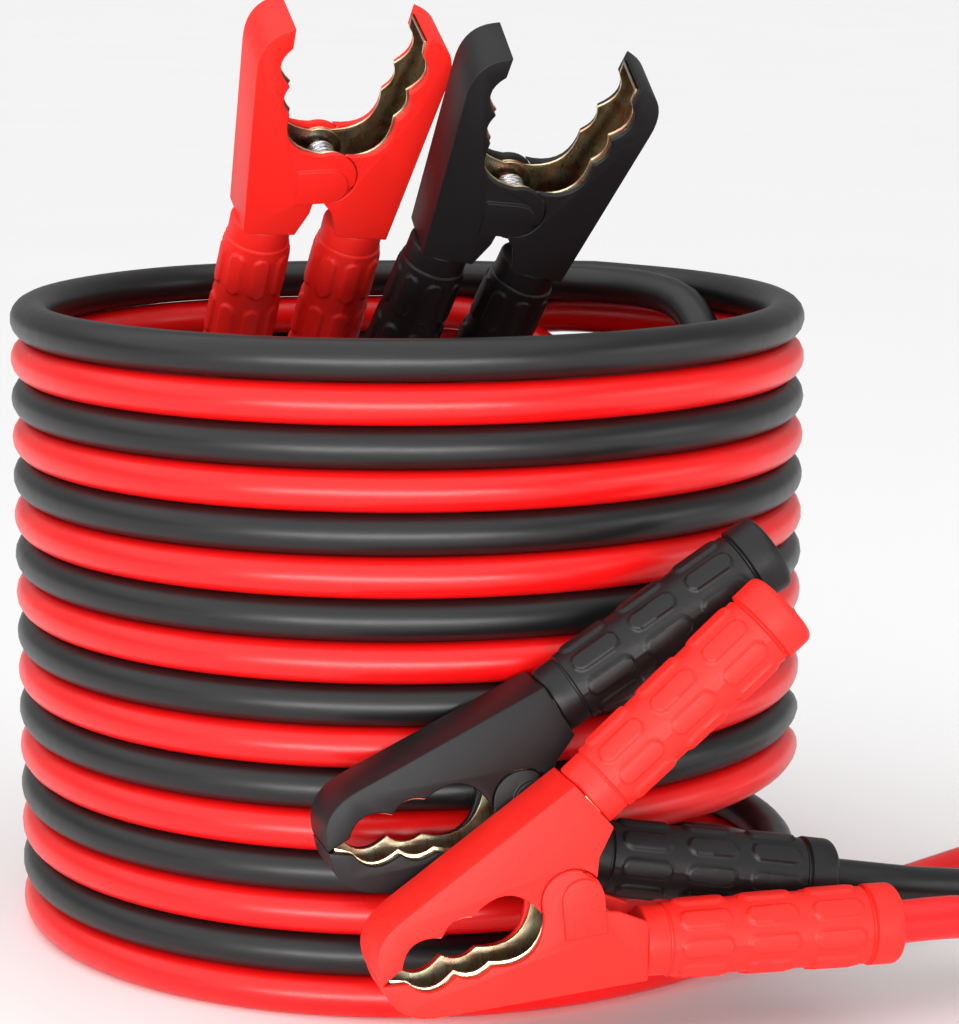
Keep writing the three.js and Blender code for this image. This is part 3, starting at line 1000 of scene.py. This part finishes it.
class JUMPER_OT_camera(bpy.types.Operator):
    """Set the camera as the photograph was taken"""

    bl_idname = "jumper.camera"
    bl_label = "Camera"

    def execute(self, context):
        data = bpy.data.cameras.new("photo_camera")
        data.sensor_fit = "AUTO"
        data.sensor_width = 36
        data.lens = FOCAL_PIXELS * data.sensor_width / FRAME_HEIGHT
        data.shift_y = LOWERED_PIXELS / FRAME_HEIGHT
        data.clip_end = 50
        camera = bpy.data.objects.new("photo_camera", data)
        camera.location = from_axis((CAMERA_X, -CAMERA_AWAY, CAMERA_HEIGHT))
        camera.rotation_euler = (math.pi / 2 - CAMERA_PITCH, 0, 0)
        context.collection.objects.link(camera)
        context.scene.camera = camera
        return {"FINISHED"}


class JUMPER_OT_cables(bpy.types.Operator):
    """Wind the red and the black cable, each one length from clamp to clamp"""

    bl_idname = "jumper.cables"
    bl_label = "Cables"

    def execute(self, context):
        sizes = context.scene.jumper_sizes
        for colour in COLOURS:
            route = cable_route(colour)
            name = f"{colour}_cable_wound"
            cable = cable_curve(name, route, sizes.jacket, sizes.cable_sides)
            cable.data.materials.append(finish_named(f"{colour}_cable"))
            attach(cable, STILL_BODY)
            turns = [f"{colour}_coil_turn_{n}" for n in range(1, TURNS_PER_CABLE + 1)]
            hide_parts(*turns, f"{colour}_lead", f"{colour}_tail")
            exit_at, _ = cable_exit(f"{colour}_top")
        return {"FINISHED"}


class JUMPER_OT_arms(bpy.types.Operator):
    """Mould the clamps' arm shells, with the ear and its pads on the lower ones"""

    bl_idname = "jumper.arms"
    bl_label = "Clamp arms"

    def execute(self, context):
        rounding = context.scene.jumper_sizes.edge_round
        for half, side in HALVES:
            made = arm_shell(side, rounding)
            for name, colour in clamps():
                node = f"{name}_{half}_arm"
                slot = f"{colour}_moulding"
                as_piece(
                    node + "_moulded", made.copy(), half_place(name, side),
                    [finish_named(slot)], body_of(name, side), node,
                )
            bpy.data.meshes.remove(made)
        return {"FINISHED"}


class JUMPER_OT_jaws(bpy.types.Operator):
    """Press the steel jaws with their scalloped edges"""

    bl_idname = "jumper.jaws"
    bl_label = "Steel jaws"

    def execute(self, context):
        rounding = context.scene.jumper_sizes.steel_round
        for half, side in HALVES:
            made = steel_jaw(side, rounding)
            for name, _ in clamps():
                node = f"{name}_{half}_jaw"
                # The second finish is the plating darkened as painted shade, for the inner
                # faces.
                finishes = [finish_named("plated_steel"), finish_named("plated_inside_painted_shade")]
                as_piece(
                    node + "_pressed", made.copy(), half_place(name, side), finishes,
                    body_of(name, side), node,
                )
            bpy.data.meshes.remove(made)
        return {"FINISHED"}


class JUMPER_OT_grips(bpy.types.Operator):
    """Mould the rubber grips with their collar, raised pads and end cap"""

    bl_idname = "jumper.grips"
    bl_label = "Rubber grips"

    def execute(self, context):
        made = rubber_grip(context.scene.jumper_sizes)
        for half, side in HALVES:
            for name, colour in clamps():
                node = f"{name}_{half}_grip"
                slot = f"{colour}_grip"
                as_piece(
                    node + "_rubber", made.copy(), grip_place(name, side),
                    [finish_named(slot)], body_of(name, side), node,
                )
        bpy.data.meshes.remove(made)
        return {"FINISHED"}


class JUMPER_OT_springs(bpy.types.Operator):
    """Wind the torsion springs and finish the pivot pins"""

    bl_idname = "jumper.springs"
    bl_label = "Springs and pins"

    def execute(self, context):
        steel = finish_named("bright_steel")
        for name, _ in clamps():
            spring = cable_curve(f"{name}_spring_wire", spring_route(name), SPRING_WIRE * MM, 4)
            spring.data.materials.append(steel)
            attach(spring, STILL_BODY)
            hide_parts(f"{name}_spring")
            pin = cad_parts[f"{name}_pivot_pin"]
            pin.data.materials.clear()
            pin.data.materials.append(steel)
        return {"FINISHED"}


class JUMPER_OT_stage(bpy.types.Operator):
    """Lay the pale floor and set the soft studio light"""

    bl_idname = "jumper.stage"
    bl_label = "Studio"

    def execute(self, context):
        finish = Finish("studio_floor")
        cloud = finish.noise(1.5, 2.0)
        finish.set("Base Color", finish.mix(cloud, (0.90, 0.90, 0.90), (0.94, 0.94, 0.94)))
        finish.set("Roughness", 0.5)
        bm = bmesh.new()
        bmesh.ops.create_grid(bm, x_segments=1, y_segments=1, size=60)
        floor = as_object("studio_floor", bm)
        floor.data.materials.append(finish.material)
        world = bpy.data.worlds.new("studio")
        world.use_nodes = True
        sky = world.node_tree.nodes["Background"]
        sky.inputs["Color"].default_value = (1, 1, 1, 1)
        sky.inputs["Strength"].default_value = 0.4
        context.scene.world = world
        sun = bpy.data.lights.new("sun", "SUN")
        sun.energy = 2.5
        sun.angle = math.radians(110)
        self.aim(context, sun, (-450, -500, 1400))
        strips = (
            ("front_strip", (-150, -1550, 150), (2.0, 0.26), 26),
            ("side_strip", (1500, -500, 500), (1.2, 0.5), 4),
        )
        for name, place, size, power in strips:
            strip = bpy.data.lights.new(name, "AREA")
            strip.shape = "RECTANGLE"
            strip.size, strip.size_y = size
            strip.energy = power
            self.aim(context, strip, place)
        context.scene.view_settings.view_transform = "Standard"
        return {"FINISHED"}

    def aim(self, context, light, place):
        """A lamp at this place from the coil's axis, aimed at the coil's middle."""
        lamp = bpy.data.objects.new(light.name, light)
        lamp.location = from_axis(place)
        way = from_axis((0, 0, 140)) - lamp.location
        lamp.rotation_euler = way.to_track_quat("-Z", "Y").to_euler()
        lamp.visible_camera = False
        context.collection.objects.link(lamp)


class JUMPER_PT_panel(bpy.types.Panel):
    """The sidebar's list of pieces, sizes and colours"""

    bl_idname = "JUMPER_PT_panel"
    bl_label = "Jumper cable"
    bl_space_type = "VIEW_3D"
    bl_region_type = "UI"
    bl_category = "Jumper cable"

    def draw(self, context):
        column = self.layout.column()
        for operator in OPERATORS:
            column.operator(operator.bl_idname)
        for group in (context.scene.jumper_sizes, context.scene.jumper_colours):
            for name in group.bl_rna.properties.keys():
                if name not in ("rna_type", "name"):
                    column.prop(group, name)


OPERATORS = (
    JUMPER_OT_camera,
    JUMPER_OT_cables,
    JUMPER_OT_arms,
    JUMPER_OT_jaws,
    JUMPER_OT_grips,
    JUMPER_OT_springs,
    JUMPER_OT_stage,
)
CLASSES = (JumperCableSizes, JumperCableColours, *OPERATORS, JUMPER_PT_panel)


def register():
    for cls in CLASSES:
        bpy.utils.register_class(cls)
    bpy.types.Scene.jumper_sizes = PointerProperty(type=JumperCableSizes)
    bpy.types.Scene.jumper_colours = PointerProperty(type=JumperCableColours)


def unregister():
    del bpy.types.Scene.jumper_colours
    del bpy.types.Scene.jumper_sizes
    for cls in reversed(CLASSES):
        bpy.utils.unregister_class(cls)


def main():
    register()
    for operator in OPERATORS:
        group, name = operator.bl_idname.split(".")
        getattr(getattr(bpy.ops, group), name)()


if __name__ == "__main__":
    main()
